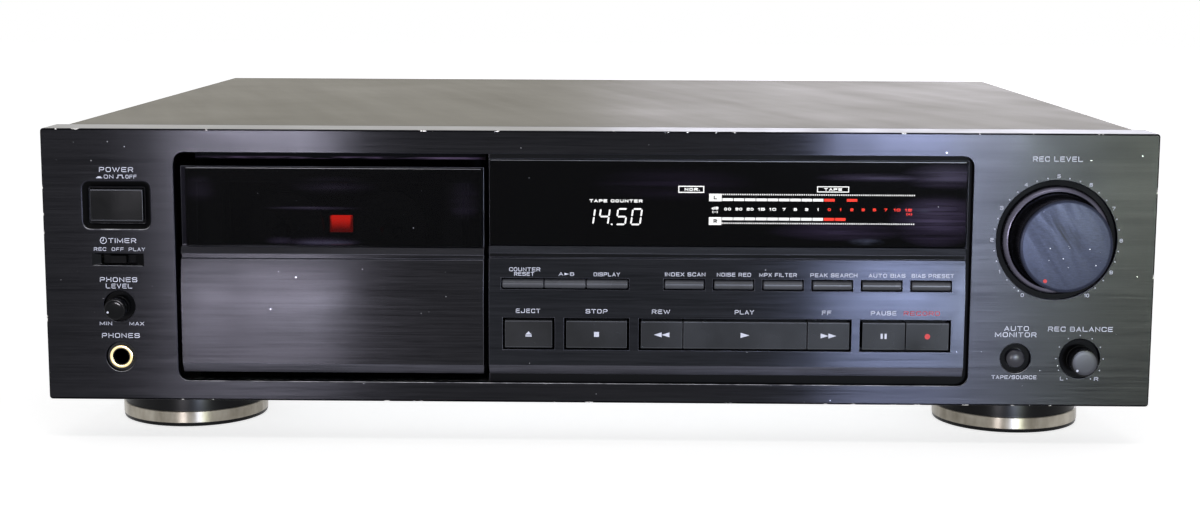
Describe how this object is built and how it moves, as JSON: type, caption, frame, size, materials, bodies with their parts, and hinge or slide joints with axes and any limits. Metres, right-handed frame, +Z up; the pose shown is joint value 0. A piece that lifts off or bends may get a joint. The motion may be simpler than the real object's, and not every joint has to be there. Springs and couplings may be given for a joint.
{
  "type": "cassette deck",
  "caption": "Full-width cassette deck: front-loading door, transport keys, lit display, level knob and working tape mechanism in a flat metal cabinet on round feet.",
  "frame": {"origin": "on the floor under the middle of the deck's width and whole depth", "axes": "+X to the right seen from the front, +Y towards the back, +Z up; the front faces -Y"},
  "size_m": [0.44, 0.3824, 0.127],
  "materials": {
    "black_aluminium": "black anodised, brushed lengthways",
    "black_plastic": "satin black",
    "key_grey": "dark grey, satin",
    "smoked_window": "smoked, clear gloss",
    "cover_paint": "satin dark grey enamel",
    "zinc_steel": "zinc plated sheet",
    "bright_steel": "polished",
    "brass": "gilt",
    "rubber": "matt",
    "red_lamp": "lit red",
    "board_green": "green laminate",
    "tube_glass": "dark glass"
  },
  "bodies": {
    "cabinet": {"front_panel": "black_aluminium", "control_panel": "black_aluminium", "display_window": "smoked_window", "display_tube": "tube_glass", "top_cover": "cover_paint", "chassis_pan": "zinc_steel", "rear_panel": "zinc_steel", "foot_front_left": "black_plastic", "foot_front_right": "black_plastic", "foot_rear_left": "black_plastic", "foot_rear_right": "black_plastic", "phones_jack": "brass", "phono_jacks": "black_plastic", "mains_inlet": "black_plastic", "main_board": "board_green", "front_board": "board_green", "transformer": "zinc_steel", "mech_plate": "zinc_steel", "capstan_motor": "bright_steel", "drive_belt": "rubber", "cassette_lamp": "red_lamp", "record_level_pot": "zinc_steel", "balance_pot": "zinc_steel", "phones_pot": "zinc_steel"},
    "door": {"door_panel": "black_aluminium", "door_window": "smoked_window", "cassette_holder": "black_plastic"},
    "heads": {"head_bridge": "bright_steel", "tape_head": "bright_steel"},
    "power_button": {"power_button": "key_grey"},
    "timer_slider": {"timer_slider": "black_plastic"},
    "phones_knob": {"phones_knob": "key_grey"},
    "record_level_knob": {"record_level_knob": "key_grey"},
    "balance_knob": {"balance_knob": "key_grey"},
    "monitor_button": {"monitor_button": "key_grey"},
    "eject_button": {"eject_button": "key_grey"},
    "stop_button": {"stop_button": "key_grey"},
    "rewind_button": {"rewind_button": "key_grey"},
    "play_button": {"play_button": "key_grey"},
    "fast_forward_button": {"fast_forward_button": "key_grey"},
    "pause_button": {"pause_button": "key_grey"},
    "record_button": {"record_button": "key_grey"},
    "counter_reset_button": {"counter_reset_button": "key_grey"},
    "counter_memory_button": {"counter_memory_button": "key_grey"},
    "counter_display_button": {"counter_display_button": "key_grey"},
    "index_scan_button": {"index_scan_button": "key_grey"},
    "noise_reduction_button": {"noise_reduction_button": "key_grey"},
    "filter_button": {"filter_button": "key_grey"},
    "peak_search_button": {"peak_search_button": "key_grey"},
    "auto_bias_button": {"auto_bias_button": "key_grey"},
    "bias_preset_button": {"bias_preset_button": "key_grey"},
    "reel_spindle_left": {"reel_spindle_left": "black_plastic"},
    "reel_spindle_right": {"reel_spindle_right": "black_plastic"},
    "capstan_left": {"capstan_left": "bright_steel"},
    "capstan_right": {"capstan_right": "bright_steel"},
    "motor_pulley": {"motor_pulley": "brass"},
    "pinch_arm_left": {"pinch_arm_left": "bright_steel"},
    "pinch_roller_left": {"pinch_roller_left": "rubber"},
    "pinch_arm_right": {"pinch_arm_right": "bright_steel"},
    "pinch_roller_right": {"pinch_roller_right": "rubber"}
  },
  "joints": [
    {"name": "power_press", "type": "slide", "parent": "cabinet", "child": "power_button", "axis": [0, 1, 0], "range_m": [-0.003, 0.001]},
    {"name": "timer_slide", "type": "slide", "parent": "cabinet", "child": "timer_slider", "axis": [1, 0, 0], "range_m": [-0.0035, 0.0035]},
    {"name": "phones_turn", "type": "hinge", "parent": "cabinet", "child": "phones_knob", "pos_m": [-0.1906, -0.17325, 0.056], "axis": [0, 1, 0], "range_deg": [-22, 248]},
    {"name": "record_level_turn", "type": "hinge", "parent": "cabinet", "child": "record_level_knob", "pos_m": [0.1809, -0.17325, 0.0849], "axis": [0, 1, 0], "range_deg": [0, 300]},
    {"name": "balance_turn", "type": "hinge", "parent": "cabinet", "child": "balance_knob", "pos_m": [0.1918, -0.17325, 0.0374], "axis": [0, 1, 0], "range_deg": [-14, 286]},
    {"name": "monitor_press", "type": "slide", "parent": "cabinet", "child": "monitor_button", "axis": [0, 1, 0], "range_m": [0, 0.001], "stiffness_N_per_m": 400},
    {"name": "eject_press", "type": "slide", "parent": "cabinet", "child": "eject_button", "axis": [0, 1, 0], "range_m": [0, 0.0015], "stiffness_N_per_m": 500},
    {"name": "stop_press", "type": "slide", "parent": "cabinet", "child": "stop_button", "axis": [0, 1, 0], "range_m": [0, 0.0015], "stiffness_N_per_m": 500},
    {"name": "rewind_press", "type": "slide", "parent": "cabinet", "child": "rewind_button", "axis": [0, 1, 0], "range_m": [0, 0.0015], "stiffness_N_per_m": 500},
    {"name": "play_press", "type": "slide", "parent": "cabinet", "child": "play_button", "axis": [0, 1, 0], "range_m": [0, 0.0015], "stiffness_N_per_m": 500},
    {"name": "fast_forward_press", "type": "slide", "parent": "cabinet", "child": "fast_forward_button", "axis": [0, 1, 0], "range_m": [0, 0.0015], "stiffness_N_per_m": 500},
    {"name": "pause_press", "type": "slide", "parent": "cabinet", "child": "pause_button", "axis": [0, 1, 0], "range_m": [0, 0.0015], "stiffness_N_per_m": 500},
    {"name": "record_press", "type": "slide", "parent": "cabinet", "child": "record_button", "axis": [0, 1, 0], "range_m": [0, 0.0015], "stiffness_N_per_m": 500},
    {"name": "counter_reset_press", "type": "slide", "parent": "cabinet", "child": "counter_reset_button", "axis": [0, 1, 0], "range_m": [0, 0.001], "stiffness_N_per_m": 400},
    {"name": "counter_memory_press", "type": "slide", "parent": "cabinet", "child": "counter_memory_button", "axis": [0, 1, 0], "range_m": [0, 0.001], "stiffness_N_per_m": 400},
    {"name": "counter_display_press", "type": "slide", "parent": "cabinet", "child": "counter_display_button", "axis": [0, 1, 0], "range_m": [0, 0.001], "stiffness_N_per_m": 400},
    {"name": "index_scan_press", "type": "slide", "parent": "cabinet", "child": "index_scan_button", "axis": [0, 1, 0], "range_m": [0, 0.001], "stiffness_N_per_m": 400},
    {"name": "noise_reduction_press", "type": "slide", "parent": "cabinet", "child": "noise_reduction_button", "axis": [0, 1, 0], "range_m": [0, 0.001], "stiffness_N_per_m": 400},
    {"name": "filter_press", "type": "slide", "parent": "cabinet", "child": "filter_button", "axis": [0, 1, 0], "range_m": [0, 0.001], "stiffness_N_per_m": 400},
    {"name": "peak_search_press", "type": "slide", "parent": "cabinet", "child": "peak_search_button", "axis": [0, 1, 0], "range_m": [0, 0.001], "stiffness_N_per_m": 400},
    {"name": "auto_bias_press", "type": "slide", "parent": "cabinet", "child": "auto_bias_button", "axis": [0, 1, 0], "range_m": [0, 0.001], "stiffness_N_per_m": 400},
    {"name": "bias_preset_press", "type": "slide", "parent": "cabinet", "child": "bias_preset_button", "axis": [0, 1, 0], "range_m": [0, 0.001], "stiffness_N_per_m": 400},
    {"name": "door_tilt", "type": "hinge", "parent": "cabinet", "child": "door", "pos_m": [-0.1056, -0.16425, 0.032], "axis": [1, 0, 0], "range_deg": [0, 28]},
    {"name": "reel_left_spin", "type": "hinge", "parent": "cabinet", "child": "reel_spindle_left", "pos_m": [-0.12685, -0.17325, 0.085], "axis": [0, 1, 0], "continuous": true},
    {"name": "reel_right_spin", "type": "hinge", "parent": "cabinet", "child": "reel_spindle_right", "pos_m": [-0.08435, -0.17325, 0.085], "axis": [0, 1, 0], "continuous": true},
    {"name": "capstan_left_spin", "type": "hinge", "parent": "cabinet", "child": "capstan_left", "pos_m": [-0.1331, -0.17325, 0.06], "axis": [0, 1, 0], "continuous": true},
    {"name": "capstan_right_spin", "type": "hinge", "parent": "cabinet", "child": "capstan_right", "pos_m": [-0.0781, -0.17325, 0.06], "axis": [0, 1, 0], "continuous": true},
    {"name": "motor_spin", "type": "hinge", "parent": "cabinet", "child": "motor_pulley", "pos_m": [-0.1056, -0.17325, 0.102], "axis": [0, 1, 0], "continuous": true},
    {"name": "head_lift", "type": "slide", "parent": "cabinet", "child": "heads", "axis": [0, 0, 1], "range_m": [0, 0.0045]},
    {"name": "pinch_arm_left_swing", "type": "hinge", "parent": "cabinet", "child": "pinch_arm_left", "pos_m": [-0.1491, -0.17325, 0.0486], "axis": [0, -1, 0], "range_deg": [0, 30.8]},
    {"name": "pinch_roller_left_spin", "type": "hinge", "parent": "pinch_arm_left", "child": "pinch_roller_left", "pos_m": [-0.1331, -0.17325, 0.0442], "axis": [0, 1, 0], "continuous": true},
    {"name": "pinch_arm_right_swing", "type": "hinge", "parent": "cabinet", "child": "pinch_arm_right", "pos_m": [-0.0621, -0.17325, 0.0486], "axis": [0, 1, 0], "range_deg": [0, 30.8]},
    {"name": "pinch_roller_right_spin", "type": "hinge", "parent": "pinch_arm_right", "child": "pinch_roller_right", "pos_m": [-0.0781, -0.17325, 0.0442], "axis": [0, 1, 0], "continuous": true}
  ],
  "couplings": [
    {"joint": "capstan_right_spin", "follows": "capstan_left_spin", "ratio": 1},
    {"joint": "motor_spin", "follows": "capstan_left_spin", "ratio": 4},
    {"joint": "pinch_arm_left_swing", "follows": "head_lift", "rad_per_m": 119.27},
    {"joint": "pinch_arm_right_swing", "follows": "head_lift", "rad_per_m": 119.27}
  ]
}
